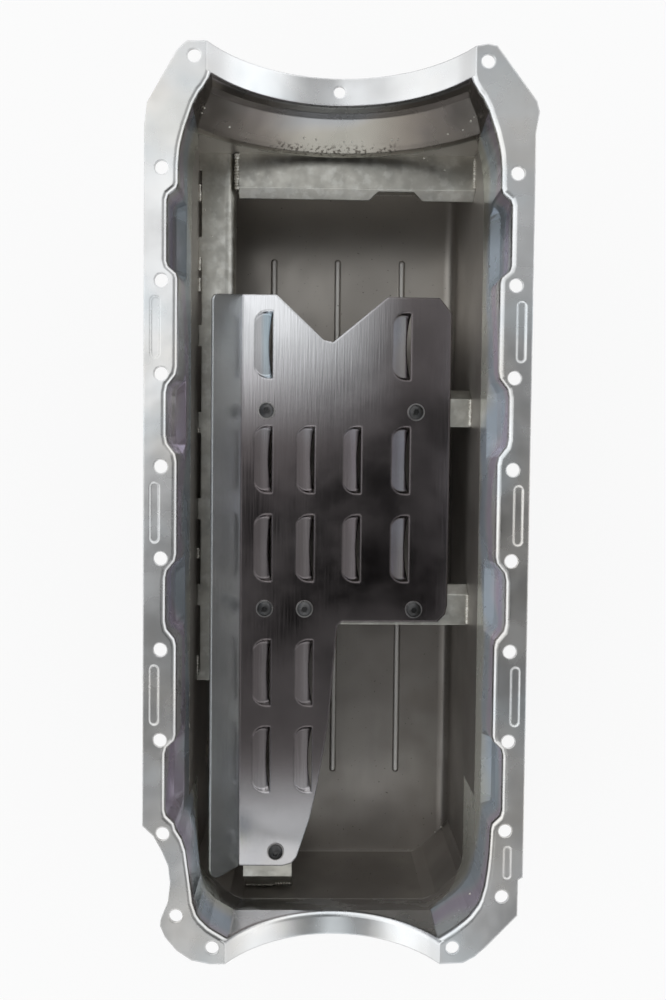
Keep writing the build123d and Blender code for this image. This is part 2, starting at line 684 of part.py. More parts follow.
for number, (x, y) in enumerate(screw_spots, 1):
    with BuildPart() as tray_washer:
        add(washer(x, y, -tray_depth, washer_d, clearance_hole_d, washer_t))
    tray_washer.part.label = f"tray_washer_{number}"
    export_step(tray_washer.part, f"parts/tray_washer_{number}.step")
    with BuildPart() as tray_screw:
        add(button_screw(x, y, washer_t - tray_depth))
    tray_screw.part.label = f"tray_screw_{number}"
    export_step(tray_screw.part, f"parts/tray_screw_{number}.step")
    with BuildPart() as tray_nut:
        add(weld_nut(x, y, -tray_under - bar_sheet))
    tray_nut.part.label = f"tray_nut_{number}"
    export_step(tray_nut.part, f"parts/tray_nut_{number}.step")
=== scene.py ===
# %% [markdown]
# # An engine oil pan, seen from above
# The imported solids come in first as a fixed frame. They already have the true shapes and sizes, so
# this lesson dresses them: steel finishes, weld beads, screws with their threads, a floor, soft light
# and a camera.

# %% Load the frame
import bpy
import json
import math
from mathutils import Matrix, Vector

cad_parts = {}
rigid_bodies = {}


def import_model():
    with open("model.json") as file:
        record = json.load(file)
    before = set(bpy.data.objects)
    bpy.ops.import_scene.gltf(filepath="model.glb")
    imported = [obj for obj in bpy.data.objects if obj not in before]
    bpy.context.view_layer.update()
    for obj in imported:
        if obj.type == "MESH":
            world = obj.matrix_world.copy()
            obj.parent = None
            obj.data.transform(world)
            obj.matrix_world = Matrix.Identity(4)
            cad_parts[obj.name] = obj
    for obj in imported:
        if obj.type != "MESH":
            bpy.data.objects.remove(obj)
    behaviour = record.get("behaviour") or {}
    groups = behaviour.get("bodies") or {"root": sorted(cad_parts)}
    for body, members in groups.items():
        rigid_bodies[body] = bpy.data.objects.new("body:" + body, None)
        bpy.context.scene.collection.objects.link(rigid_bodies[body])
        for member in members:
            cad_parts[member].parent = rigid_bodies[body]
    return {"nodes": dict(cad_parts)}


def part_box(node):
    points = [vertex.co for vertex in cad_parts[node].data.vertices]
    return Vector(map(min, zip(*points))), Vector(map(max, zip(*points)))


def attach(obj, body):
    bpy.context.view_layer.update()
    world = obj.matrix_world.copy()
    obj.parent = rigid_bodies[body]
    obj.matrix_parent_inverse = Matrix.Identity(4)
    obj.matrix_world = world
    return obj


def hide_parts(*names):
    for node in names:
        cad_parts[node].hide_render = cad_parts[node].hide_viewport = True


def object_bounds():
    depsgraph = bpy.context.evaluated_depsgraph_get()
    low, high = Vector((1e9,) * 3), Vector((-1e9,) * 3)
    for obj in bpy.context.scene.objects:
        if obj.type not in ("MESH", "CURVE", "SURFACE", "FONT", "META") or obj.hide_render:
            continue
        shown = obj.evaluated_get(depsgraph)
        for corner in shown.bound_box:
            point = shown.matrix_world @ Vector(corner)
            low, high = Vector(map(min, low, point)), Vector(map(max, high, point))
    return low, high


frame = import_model()
nodes = frame["nodes"]
cad_box = [list(corner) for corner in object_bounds()]
print(len(nodes), "solids, box", [[round(v, 4) for v in corner] for corner in cad_box])

# %% [markdown]
# A picture is matched first by its camera. The rail's bolt rows are straight and parallel, and the
# screw heads have a known size, so the lens, the place and the small tilt of the camera follow from
# them.

# %% Camera
eye = Vector((-0.01345, -0.00142, 0.55473))
tilt = Vector((-0.034926, -0.019092, 0.010059))
picture_width, picture_height = 666, 1000
lens_mm, sensor_mm = 30.6, 36.0
nearest, farthest = 0.01, 20.0

scene = bpy.context.scene
camera = bpy.data.objects.new("camera", bpy.data.cameras.new("camera"))
scene.collection.objects.link(camera)
camera.data.sensor_width = sensor_mm
camera.data.lens = lens_mm
camera.data.clip_start, camera.data.clip_end = nearest, farthest
camera.matrix_world = Matrix.Translation(eye) @ Matrix.Rotation(tilt.length, 4, tilt.normalized())
scene.camera = camera
print("camera", lens_mm, "mm lens,", round(eye.z * 1000), "mm above the rail")

# %% [markdown]
# Small marks such as weld drops are placed where the picture shows them: a ray goes from the camera
# through a pixel until it meets the solid. So each mark lies on the sheet that carries it, seen from
# any side.

# %% A helper that finds the spot on a solid behind a pixel


def seen_at(name, pixel_x, pixel_y):
    """The point of a solid behind this pixel."""
    reach = camera.data.lens / camera.data.sensor_width * picture_height
    ray = Vector((pixel_x - picture_width / 2, picture_height / 2 - pixel_y, -reach))
    ray = (camera.matrix_world.to_3x3() @ ray).normalized()
    hit, place = nodes[name].ray_cast(eye, ray)[:2]
    if not hit:
        raise ValueError(f"{name} is not behind pixel {pixel_x}, {pixel_y}")
    return place


rail_spot = seen_at("pan_body", 152, 600)
print("the left rail lies at", [round(v * 1000, 1) for v in rail_spot], "mm")

# %% [markdown]
# Shaders, the sky and geometry are all made of nodes. One helper makes a node, sets its options and
# fills its inputs with numbers or links, so that every tree below reads as a list of what it does.

# %% Helpers for nodes


def make(tree, kind, inputs=None, **options):
    """A node with its options set, and its inputs filled with values or links."""
    made = tree.nodes.new(kind)
    for option, value in options.items():
        setattr(made, option, value)
    for key, value in (inputs or {}).items():
        if isinstance(value, bpy.types.NodeSocket):
            tree.links.new(value, made.inputs[key])
        else:
            made.inputs[key].default_value = value
    return made


def calc(tree, operation, first, second=0.0):
    """One step of arithmetic on numbers or links."""
    return make(tree, "ShaderNodeMath", {0: first, 1: second}, operation=operation).outputs[0]


def times(tree, first, *others):
    """The product of numbers or links."""
    for other in others:
        first = calc(tree, "MULTIPLY", first, other)
    return first


def plus(tree, first, *others):
    """The sum of numbers or links."""
    for other in others:
        first = calc(tree, "ADD", first, other)
    return first


print("helpers: make, calc, times, plus")

# %% [markdown]
# Most finishes here are one colour that gives way to another: over a height, in clouds or along a
# grain. A smooth ramp, a mix and a noise are enough to say that.

# %% Helpers for colour


def fade(tree, value, low, high, start=0.0, end=1.0):
    """A smooth change from start to end while the value goes from low to high."""
    inputs = {0: value, 1: low, 2: high, 3: start, 4: end}
    return make(tree, "ShaderNodeMapRange", inputs, interpolation_type="SMOOTHSTEP").outputs[0]


def mix(tree, factor, first, second, blend="MIX"):
    """One colour over another, by a factor."""
    colours = [(*value, 1.0) if isinstance(value, tuple) else value for value in (first, second)]
    inputs = {0: factor, 6: colours[0], 7: colours[1]}
    return make(tree, "ShaderNodeMix", inputs, data_type="RGBA", blend_type=blend).outputs[2]


def noise(tree, where, scale, detail=3.0, stretch=None):
    """Cloudy noise, stretched along an axis when asked."""
    if stretch:
        where = make(tree, "ShaderNodeMapping", {0: where, 3: stretch}).outputs[0]
    return make(tree, "ShaderNodeTexNoise", {0: where, "Scale": scale, "Detail": detail}).outputs[0]


def axes_of(tree, where):
    """The X, Y and Z of a place or a direction."""
    return make(tree, "ShaderNodeSeparateXYZ", {0: where}).outputs


print("helpers: fade, mix, noise, axes_of")

# %% [markdown]
# Steel has hardly a look of its own: it shows its surroundings. The studio is a dim ceiling over the
# camera, with one large soft panel in front and to the left, a narrower one behind, and a bright
# horizon. The sheets then run from light to dark as the real ones do. Painting the panels into the
# sky by direction keeps them plain and soft. A direction is written as two slopes, across and along,
# which are nought straight up.

# %% Sky: directions as slopes
scene.view_settings.view_transform = "Standard"
world = bpy.data.worlds.new("studio")
scene.world = world
world.use_nodes = True
sky = world.node_tree
least_height = 0.05

axes = axes_of(sky, make(sky, "ShaderNodeTexCoord").outputs["Generated"])
height = calc(sky, "MAXIMUM", axes["Z"], least_height)
across = calc(sky, "DIVIDE", axes["X"], height)
along = calc(sky, "DIVIDE", axes["Y"], height)
print("sky:", world.name)

# %% Sky: the dim ceiling and the two panels
ceiling, around = 0.02, 0.33
dim_x, dim_y, dim_edge = 0.06, -0.06, (0.11, 0.27)
front_panel, front_slant = 0.88, 0.5
front_edge, front_side, front_top = (0.03, 0.21), (0.11, -0.07), (0.34, 0.46, 1.0, 0.35)
rear_panel, rear_edge, rear_left, rear_right = 0.85, (-0.36, -0.50), (-0.26, -0.10), (0.24, 0.08)

off_x, off_y = calc(sky, "SUBTRACT", across, dim_x), calc(sky, "SUBTRACT", along, dim_y)
lean = calc(sky, "SQRT", plus(sky, times(sky, off_x, off_x), times(sky, off_y, off_y)))
slant = calc(sky, "SUBTRACT", along, times(sky, across, front_slant))
front = times(sky, fade(sky, slant, *front_edge), fade(sky, across, *front_side),
              fade(sky, along, *front_top))
rear = times(sky, fade(sky, along, *rear_edge), fade(sky, across, *rear_left),
             fade(sky, across, *rear_right))
light = fade(sky, lean, *dim_edge, ceiling, ceiling + around)
light = plus(sky, light, times(sky, front, front_panel), times(sky, rear, rear_panel))
print("front panel", front_panel, "rear panel", rear_panel)

# %% [markdown]
# The horizon is bright, so that bends catch a white line, and it is a little dimmer near the floor.
# Rays that come straight from the camera see plain white. The last step holds the sum to a limit,
# which keeps glare down.

# %% Sky: horizon, limit and background
horizon_glow, horizon_edge = 1.15, (0.84, 0.45)
front_lift, rear_dip = (0.15, 0.34, 0.0, 0.16), (-0.02, -0.25, 0.0, -0.10)
low_dip = (0.25, 0.05, 0.0, 0.35)
brightest = 1.4
cool_white = (0.985, 0.995, 1.0)

light = plus(sky, light, fade(sky, along, *front_lift), fade(sky, along, *rear_dip))
light = plus(sky, light, fade(sky, axes["Z"], *horizon_edge, 0.0, horizon_glow))
light = calc(sky, "SUBTRACT", light, fade(sky, axes["Z"], *low_dip))
light = calc(sky, "MINIMUM", light, brightest)
grey = make(sky, "ShaderNodeCombineColor", {0: light, 1: light, 2: light}).outputs[0]
studio = mix(sky, 1.0, grey, cool_white, "MULTIPLY")
rays = make(sky, "ShaderNodeLightPath").outputs
straight = calc(sky, "MAXIMUM", rays["Is Camera Ray"], rays["Is Transmission Ray"])
sky.links.new(mix(sky, straight, studio, (1.0, 1.0, 1.0)), sky.nodes["Background"].inputs["Color"])
print("horizon", horizon_glow, "brightest", brightest)

# %% [markdown]
# The floor is pale and plain. A backdrop could curve up behind the pan, but from above only a flat
# sheet shows. It glows a little to the camera and in reflections, which keeps the background white
# there. The rest of it is lit, so the pan still throws its soft shadow.

# %% Floor
floor_gap, floor_half = 0.0006, 4.0
floor_grey, floor_rough, floor_glow = 0.86, 0.9, 0.85

floor_z = cad_box[0][2] - floor_gap
square = ((-1, -1), (1, -1), (1, 1), (-1, 1))
corners = [(x * floor_half, y * floor_half, floor_z) for x, y in square]
floor_mesh = bpy.data.meshes.new("floor")
floor_mesh.from_pydata(corners, [], [(0, 1, 2, 3)])
floor = bpy.data.objects.new("floor", floor_mesh)
scene.collection.objects.link(floor)
print("floor at", round(floor_z * 1000, 1), "mm")

# %% White paper for the floor
paper = bpy.data.materials.new("white_paper")
paper.use_nodes = True
tree = paper.node_tree
shader = tree.nodes["Principled BSDF"]
shader.inputs["Base Color"].default_value = (floor_grey, floor_grey, floor_grey, 1.0)
shader.inputs["Roughness"].default_value = floor_rough
rays = make(tree, "ShaderNodeLightPath").outputs
looked_at = calc(tree, "MAXIMUM", rays["Is Camera Ray"], rays["Is Glossy Ray"])
looked_at = calc(tree, "MAXIMUM", looked_at, rays["Is Transmission Ray"])
glow = make(tree, "ShaderNodeEmission", {0: (1.0, 1.0, 1.0, 1.0)}).outputs[0]
share = times(tree, looked_at, floor_glow)
paper_look = make(tree, "ShaderNodeMixShader", {0: share, 1: shader.outputs[0], 2: glow}).outputs[0]
tree.links.new(paper_look, tree.nodes["Material Output"].inputs["Surface"])
floor_mesh.materials.append(paper)
print("floor:", paper.name)

# %% [markdown]
# Steel sheet is a metal shader with a broken-up surface. Fine lines from rolling run along it, clouds
# in the plating shift its tint, and handling changes how sharply it mirrors. A second, larger bump
# keeps the reflections from being dead straight, since no stamped sheet is truly flat. The shader's
# bevel rounds every hard edge a little, so that folds catch the light.

# %% A helper for steel
duller_by = 0.38
rough_spread = 0.06
cloud_range, tint_range, wide_range = (0.35, 0.66), (0.48, 0.66), (0.3, 0.7)
line_share = 0.3
soft_detail, rich_detail = 2.0, 5.0
speck_scale, speck_range, speck_colour = 420.0, (0.70, 0.76), (0.05, 0.04, 0.035)
handling_scale = 2.3
grain_height, swell_height, swell_scale = 0.0004, 0.002, 26.0
bevel_samples = 6


def steel(name, colours, rough, lines, line_depth=0.15, cloud=9.0, tints=(), edge=0.0006, wave=0.25,
          metal=1.0, bands=None, specks=0.0):
    """A rolled, plated or bare steel: two colours in clouds, fine lines, tints and an uneven gloss."""
    material = bpy.data.materials.new(name)
    material.use_nodes = True
    tree = material.node_tree
    shader = tree.nodes["Principled BSDF"]
    shader.inputs["Metallic"].default_value = metal
    where = make(tree, "ShaderNodeTexCoord").outputs["Object"]
    streaks = noise(tree, where, 1.0, stretch=lines)
    colour = mix(tree, fade(tree, noise(tree, where, cloud), *cloud_range), *colours)
    colour = mix(tree, fade(tree, streaks, *wide_range, 0.0, line_share), colour, colours[0])
    for scale, tint, share in tints:
        patches = noise(tree, where, scale)
        colour = mix(tree, fade(tree, patches, *tint_range, 0.0, share), colour, tint)
    if bands:
        colour, duller = bands(tree, where, colour)
        dulled = fade(tree, duller, 0.0, 1.0, metal, metal - duller_by)
        tree.links.new(dulled, shader.inputs["Metallic"])
    if specks:
        spots = noise(tree, where, speck_scale, soft_detail)
        colour = mix(tree, fade(tree, spots, *speck_range, 0.0, specks), colour, speck_colour)
    tree.links.new(colour, shader.inputs["Base Color"])
    handling = noise(tree, where, cloud * handling_scale, rich_detail)
    smear = fade(tree, handling, *wide_range, rough - rough_spread, rough + rough_spread)
    tree.links.new(smear, shader.inputs["Roughness"])
    rounded = make(tree, "ShaderNodeBevel", {0: edge}, samples=bevel_samples).outputs[0]
    grain = {"Strength": line_depth, "Distance": grain_height, "Height": streaks, "Normal": rounded}
    grain = make(tree, "ShaderNodeBump", grain).outputs[0]
    swells = noise(tree, where, swell_scale, soft_detail)
    swell = {"Strength": wave, "Distance": swell_height, "Height": swells, "Normal": grain}
    tree.links.new(make(tree, "ShaderNodeBump", swell).outputs[0], shader.inputs["Normal"])
    return material


def dress(material, *names):
    """The material on these solids."""
    for name in names:
        nodes[name].data.materials.clear()
        nodes[name].data.materials.append(material)


print("helpers: steel, dress")

# %% [markdown]
# The stamped upper pan is zinc plated. Its passivation film is thinner in some places than in others
# and shows the colours of a soap bubble: violet just under the rail, blue below it, green and yellow
# lower down. The film's thickness follows the depth in the plating bath, so a ramp over the height,
# stirred by noise, gives the bands. Each band is a share, where it starts, where it ends, and its
# tint. They are faint on the outside, and the rail and the saddle strips have none.

# %% Film colours inside the upper pan
film_stir, stir_scale = 0.022, 7.0
rail_end, front_strip, rear_strip = (-0.002, -0.006), (0.2545, 0.2535), (-0.3145, -0.3135)
outside_edge = (0.0, 0.03, 1.0, 0.3)
film = ((0.8, (-0.004, -0.016), (-0.036, -0.022), (0.62, 0.54, 0.68)),
        (0.8, (-0.024, -0.036), (-0.060, -0.044), (0.50, 0.59, 0.68)),
        (0.75, (-0.046, -0.062), None, (0.57, 0.58, 0.50)))


def below_rail(tree, where):
    """Where the walls are: one inside, little outside, none on the rail and the saddle strips."""
    axes = axes_of(tree, where)
    facing = make(tree, "ShaderNodeTexCoord").outputs["Normal"]
    outward = make(tree, "ShaderNodeVectorMath", {0: facing, 1: where}, operation="DOT_PRODUCT")
    outward = outward.outputs["Value"]
    return times(tree, fade(tree, axes["Z"], *rail_end), fade(tree, axes["Y"], *front_strip),
                 fade(tree, axes["Y"], *rear_strip), fade(tree, outward, *outside_edge))


def filmed(tree, where, colour, walls):
    """The bands of film colour over the walls."""
    stir = noise(tree, where, stir_scale, soft_detail)
    stir = fade(tree, stir, *wide_range, -film_stir, film_stir)
    depth = plus(tree, axes_of(tree, where)["Z"], stir)
    for share, starts, ends, tint in film:
        band = fade(tree, depth, *starts)
        if ends:
            band = times(tree, band, fade(tree, depth, *ends))
        colour = mix(tree, times(tree, band, walls, share), colour, tint)
    return colour


print(len(film), "bands of film colour")

# %% [markdown]
# Under the front saddle lies a ledge with painted shade: dark brown, darkest at its two ends, and
# lighter in the middle as a painted highlight. Burnt specks run along the middle of its lower edge. On
# the right the walls are a little duller than the plating elsewhere, so they catch light from more
# directions. Each mark is a fade over one axis times a fade over another, so it stays where it belongs
# from every side and needs no picture.

# %% Plated upper pan
# The ledge's painted shade: its strength from the middle to the ends, and its dark brown.
ledge_edge, ledge_shade_ramp, ledge_shade_colour = (0.2315, 0.2325), (0.012, 0.055, 0.68, 0.95), (0.20, 0.175, 0.15)
ledge_middle = -0.003
burnt_scale, burnt_range, burnt_colour = 430.0, (0.52, 0.60, 0.0, 0.9), (0.07, 0.06, 0.05)
burnt_row, burnt_reach = (0.2385, 0.2345), (0.052, 0.040)
right_wall, right_end = (0.05, 0.08), (0.17, 0.14)
left_dull, right_dull = 0.35, 0.65


def pan_finish(tree, where, colour):
    """Film bands, painted shade on the ledge, its burnt specks, and how much duller the walls are."""
    axes = axes_of(tree, where)
    walls = below_rail(tree, where)
    colour = filmed(tree, where, colour, walls)
    ledge = times(tree, fade(tree, axes["Y"], *ledge_edge), walls)
    sideways = calc(tree, "ABSOLUTE", plus(tree, axes["X"], -ledge_middle))
    # Painted shade: the ledge goes dark brown, most at its two ends, and stays lighter in the middle as
    # a painted highlight.
    colour = mix(tree, times(tree, ledge, fade(tree, sideways, *ledge_shade_ramp)), colour, ledge_shade_colour)
    burnt = fade(tree, noise(tree, where, burnt_scale, rich_detail), *burnt_range)
    burnt = times(tree, burnt, fade(tree, axes["Y"], *burnt_row), fade(tree, sideways, *burnt_reach))
    colour = mix(tree, times(tree, burnt, ledge), colour, burnt_colour)
    right = times(tree, fade(tree, axes["X"], *right_wall), fade(tree, axes["Y"], *right_end))
    return colour, times(tree, walls, plus(tree, left_dull, times(tree, right, right_dull)))


plated = steel("plated_pan", ((0.64, 0.64, 0.64), (0.80, 0.81, 0.82)), 0.25, (60.0, 9.0, 60.0),
               line_depth=0.10, cloud=14.0, edge=0.0014, wave=0.25, bands=pan_finish,
               tints=((16.0, (0.60, 0.66, 0.69), 0.5), (11.0, (0.70, 0.66, 0.60), 0.5)))
dress(plated, "pan_body")
print("pan_body:", plated.name)

# %% [markdown]
# The deep sump is bare sheet that has gone dull and brownish. Its blotches and dark specks come from
# the steel helper. Its floor is cleaner towards the front, and the crowns of its ribs carry a painted
# highlight where they stand proud. The highlight follows the shape, so it is measured up from the
# floor.

# %% Dull sump
floor_sheet = 0.0015
crown_low, crown_high = (0.0003, 0.0013), (0.0030, 0.0020)
crown_sides, crown_highlight_colour = (0.080, 0.070), (0.74, 0.72, 0.69)
clean_front, clean_colour = (0.05, 0.16, 0.0, 0.75), (0.52, 0.49, 0.45)
crown_highlight_share, crown_dull = 0.9, 0.4


def sump_finish(tree, where, colour):
    """The cleaner front, the painted highlight on the rib crowns, and how much duller those are."""
    axes = axes_of(tree, where)
    floor_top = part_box("sump_shell")[0].z + floor_sheet
    above = plus(tree, axes["Z"], -floor_top)
    colour = mix(tree, fade(tree, axes["Y"], *clean_front), colour, clean_colour)
    crowns = times(tree, fade(tree, above, *crown_low), fade(tree, above, *crown_high),
                   fade(tree, calc(tree, "ABSOLUTE", axes["X"]), *crown_sides))
    # Painted highlight: the rib crowns are made lighter.
    colour = mix(tree, times(tree, crowns, crown_highlight_share), colour, crown_highlight_colour)
    return colour, times(tree, crowns, crown_dull)


dull = steel("dull_sump", ((0.24, 0.222, 0.205), (0.38, 0.357, 0.33)), 0.40, (50.0, 10.0, 50.0),
             line_depth=0.10, edge=0.0014, wave=0.2, metal=0.78, bands=sump_finish, specks=0.6,
             tints=((13.0, (0.26, 0.235, 0.21), 0.6),))
dress(dull, "sump_shell", "sump_front_wall", "sump_rear_wall")
print("sump:", dull.name)

# %% [markdown]
# The tray is satin sheet with a fine grain along its length. Its middle is painted darker: painted
# shade, where the sheet mirrors the dim ceiling. The front left corner and the tail are painted lighter
# as painted highlights, the flange that stands up on the left is painted light as a painted reflection,
# and the louvers, which are pressed down, are painted bluish in that corner as a painted reflection.
# The film could be a second, clear layer, but a darker metal looks the same and is simpler. Where it is
# dark is said by how far forward and how far right a point lies, as shares of the tray's own box, so
# the pattern belongs to the tray.

# %% Satin tray
# Where the tray's painted shade and painted highlights fall, how strong they are, and their colours.
corner_front, corner_side = (0.72, 0.97), (0.85, 0.45)
shade_from_tail, painted_shade_colour = (0.07, 0.24, 0.0, 0.85), (0.155, 0.135, 0.135)
tail_highlight, highlight_colour = (0.19, 0.07, 0.0, 0.65), (0.80, 0.81, 0.83)
flange_rise, flange_highlight_colour = (0.0006, 0.0020), (0.66, 0.69, 0.70)
louver_sink, louver_reflection_colour = (-0.0012, -0.0030), (0.66, 0.78, 0.86)
highlight_share, flange_highlight_share, flange_dull, louver_unshaded = 0.9, 0.85, 0.4, 0.25


def tray_finish(tree, where, colour):
    """Painted shade, and painted highlights and reflections on the corner, tail, flange and louvers."""
    axes = axes_of(tree, where)
    low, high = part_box("windage_tray")
    above = plus(tree, axes["Z"], -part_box("tray_washer_1")[0].z)
    forward = calc(tree, "DIVIDE", plus(tree, axes["Y"], -low.y), high.y - low.y)
    rightward = calc(tree, "DIVIDE", plus(tree, axes["X"], -low.x), high.x - low.x)
    corner = times(tree, fade(tree, forward, *corner_front), fade(tree, rightward, *corner_side))
    flange, louvers = fade(tree, above, *flange_rise), fade(tree, above, *louver_sink)
    # The flange and part of the louvers are kept out of the painted shade.
    unshaded = calc(tree, "MAXIMUM", flange, times(tree, louvers, louver_unshaded))
    painted_shade = times(tree, calc(tree, "SUBTRACT", 1.0, corner), fade(tree, forward, *shade_from_tail),
                  calc(tree, "SUBTRACT", 1.0, unshaded))
    # Painted shade darkens the tray's middle.
    colour = mix(tree, painted_shade, colour, painted_shade_colour)
    painted_highlight = calc(tree, "MAXIMUM", corner, fade(tree, forward, *tail_highlight))
    # Painted highlights lighten the front left corner and the tail.
    colour = mix(tree, times(tree, painted_highlight, highlight_share), colour, highlight_colour)
    # A painted reflection makes the standing flange light and cyan.
    colour = mix(tree, times(tree, flange, flange_highlight_share), colour, flange_highlight_colour)
    # A painted bluish reflection on the louvers in the front left corner.
    colour = mix(tree, times(tree, louvers, corner), colour, louver_reflection_colour)
    return colour, times(tree, flange, flange_dull)


satin = steel("satin_tray", ((0.46, 0.43, 0.44), (0.56, 0.54, 0.555)), 0.21, (700.0, 30.0, 60.0),
              line_depth=0.13, cloud=8.0, edge=0.0020, wave=0.03, bands=tray_finish,
              tints=((7.0, (0.48, 0.41, 0.43), 0.5), (160.0, (0.42, 0.40, 0.42), 0.25)))
dress(satin, "windage_tray")
print("tray:", satin.name)

# %% [markdown]
# Bars, shelf and front plate are galvanised strip with a mottled spangle. The small parts are plain
# metals: black oxide on the screws, zinc on the washers, bare steel on nuts and drain, copper for the
# sealing ring, and the bright, slightly uneven metal of a weld. All come from the steel helper,
# because they differ only in tint, in gloss and in the scale of their marks.

# %% Strips and small parts
strip = steel("galvanised_strip", ((0.46, 0.45, 0.41), (0.62, 0.61, 0.56)), 0.36, (40.0, 25.0, 60.0),
              line_depth=0.10, cloud=60.0, edge=0.0012, wave=0.3,
              tints=((150.0, (0.70, 0.70, 0.66), 0.5), (90.0, (0.40, 0.40, 0.37), 0.35)))
oxide = steel("black_oxide", ((0.04, 0.04, 0.04), (0.09, 0.09, 0.09)), 0.30, (80.0, 80.0, 80.0),
              line_depth=0.05, cloud=60.0, edge=0.0002, metal=0.6)
zinc = steel("zinc_washer", ((0.30, 0.29, 0.29), (0.45, 0.44, 0.43)), 0.30, (200.0, 200.0, 200.0),
             line_depth=0.1, cloud=60.0, edge=0.0002)
hex_steel = steel("plain_nut", ((0.32, 0.29, 0.26), (0.50, 0.47, 0.42)), 0.38, (90.0, 90.0, 90.0),
                  line_depth=0.1, cloud=60.0, edge=0.0004)
copper = steel("copper_ring", ((0.52, 0.28, 0.18), (0.72, 0.40, 0.26)), 0.35, (90.0, 90.0, 90.0),
               line_depth=0.1, cloud=60.0, edge=0.0002)
bead_steel = steel("weld_bead", ((0.56, 0.54, 0.48), (0.80, 0.79, 0.73)), 0.26, (90.0, 90.0, 90.0),
                   line_depth=0.1, cloud=240.0, edge=0.0002, wave=0.2, metal=0.5,
                   tints=((300.0, (0.40, 0.37, 0.32), 0.4),))
dress(strip, "front_crossbar", "rear_crossbar", "tray_bracket", "front_baffle", "side_baffle")
dress(zinc, *[name for name in nodes if name.startswith("tray_washer")])
dress(hex_steel, "drain_bung", "drain_plug", *[name for name in nodes if name.startswith("tray_nut")])
dress(copper, "drain_washer")
print(len(bpy.data.materials), "materials")

# %% [markdown]
# Screws, weld beads and drops repeat one small shape, so Geometry Nodes make them. A tree starts with
# its named sizes and ends in plain mesh with its material. To use it, a guide mesh of points or lines
# gets the tree as a modifier. The result is copied out as a mesh, and the guide goes away.

# %% Helpers for geometry trees


def new_tree(name, sizes):
    """An empty geometry tree with its named inputs, and the node that hands them out."""
    tree = bpy.data.node_groups.new(name, "GeometryNodeTree")
    tree.interface.new_socket(name="Geometry", in_out="OUTPUT", socket_type="NodeSocketGeometry")
    tree.interface.new_socket(name="Geometry", in_out="INPUT", socket_type="NodeSocketGeometry")
    for size, kind in sizes:
        tree.interface.new_socket(name=size, in_out="INPUT", socket_type=f"NodeSocket{kind}")
    return tree, make(tree, "NodeGroupInput").outputs


def close_tree(tree, shape, given):
    """Ends a tree in plain mesh with its material."""
    real = make(tree, "GeometryNodeRealizeInstances", {0: shape}).outputs[0]
    dressed = make(tree, "GeometryNodeSetMaterial", {0: real, "Material": given["Material"]}).outputs[0]
    make(tree, "NodeGroupOutput", {0: dressed})
    print(tree.name, "tree:", len(tree.nodes), "nodes")


def build(name, tree, points, edges, values):
    """Runs a tree on these points and edges, and returns the result as a plain mesh object."""
    mesh = bpy.data.meshes.new(name + "_guide")
    mesh.from_pydata(points, edges, [])
    guide = bpy.data.objects.new(name + "_guide", mesh)
    scene.collection.objects.link(guide)
    modifier = guide.modifiers.new("shape", "NODES")
    modifier.node_group = tree
    sockets = [item for item in tree.interface.items_tree if item.in_out == "INPUT"]
    sockets = {item.name: item.identifier for item in sockets}
    for size, value in values.items():
        modifier[sockets[size]] = value
    bpy.context.view_layer.update()
    evaluated = guide.evaluated_get(bpy.context.evaluated_depsgraph_get())
    result = bpy.data.meshes.new_from_object(evaluated)
    guide.modifiers.remove(modifier)
    bpy.data.objects.remove(guide)
    piece = bpy.data.objects.new(name, result)
    result.name = name
    scene.collection.objects.link(piece)
    print(name, len(result.polygons), "faces")
    return piece


print("helpers: new_tree, close_tree, build")

# %% [markdown]
# Six button-head screws hold the tray down. A screw is the same turned shape every time, so one tree
# builds it from named sizes and sets it on each spot. The head comes first: a dome cut down to a rim,
# with a hexagon socket cut out of it. Its true curve is a ball's, and how wide and how high the head
# is give the ball's radius.

# %% The screw's tree: the head
screw_sizes = ("Head width", "Head height", "Rim height", "Socket flats", "Socket depth", "Shank width",
               "Shank length", "Thread pitch")
screw_sizes = [(size, "Float") for size in screw_sizes]
head_sides, dome_rings = 96, 64
screw_tree, given = new_tree("button_screw", screw_sizes + [("Material", "Material")])


def lifted(tree, shape, z):
    """A shape lifted to a height."""
    place = make(tree, "ShaderNodeCombineXYZ", {2: z}).outputs[0]
    return make(tree, "GeometryNodeTransform", {0: shape, "Translation": place}).outputs[0]


def drum(tree, sides, radius, length):
    """A round bar or a hexagon about its own middle."""
    return make(tree, "GeometryNodeMeshCylinder", {0: sides, 3: radius, 4: length}).outputs[0]


head_height, head_radius = given["Head height"], times(screw_tree, given["Head width"], 0.5)
dome_height = calc(screw_tree, "SUBTRACT", head_height, given["Rim height"])
squares = plus(screw_tree, times(screw_tree, head_radius, head_radius),
               times(screw_tree, dome_height, dome_height))
dome_radius = calc(screw_tree, "DIVIDE", times(screw_tree, squares, 0.5), dome_height)
dome = {0: head_sides, 1: dome_rings, 2: dome_radius}
dome = make(screw_tree, "GeometryNodeMeshUVSphere", dome).outputs[0]
dome = lifted(screw_tree, dome, calc(screw_tree, "SUBTRACT", head_height, dome_radius))
blank = drum(screw_tree, head_sides, head_radius, head_height)
blank = lifted(screw_tree, blank, times(screw_tree, head_height, 0.5))
head = make(screw_tree, "GeometryNodeMeshBoolean", {1: blank}, operation="INTERSECT", solver="EXACT")
screw_tree.links.new(dome, head.inputs[1])

to_corner = math.cos(math.pi / 6)
hexagon_radius = calc(screw_tree, "DIVIDE", times(screw_tree, given["Socket flats"], 0.5), to_corner)
socket = drum(screw_tree, 6, hexagon_radius, times(screw_tree, given["Socket depth"], 2.0))
socket = lifted(screw_tree, socket, head_height)
head = make(screw_tree, "GeometryNodeMeshBoolean", {0: head.outputs[0], 1: socket},
            operation="DIFFERENCE", solver="EXACT").outputs[0]
print("head of", len(screw_tree.nodes), "nodes")

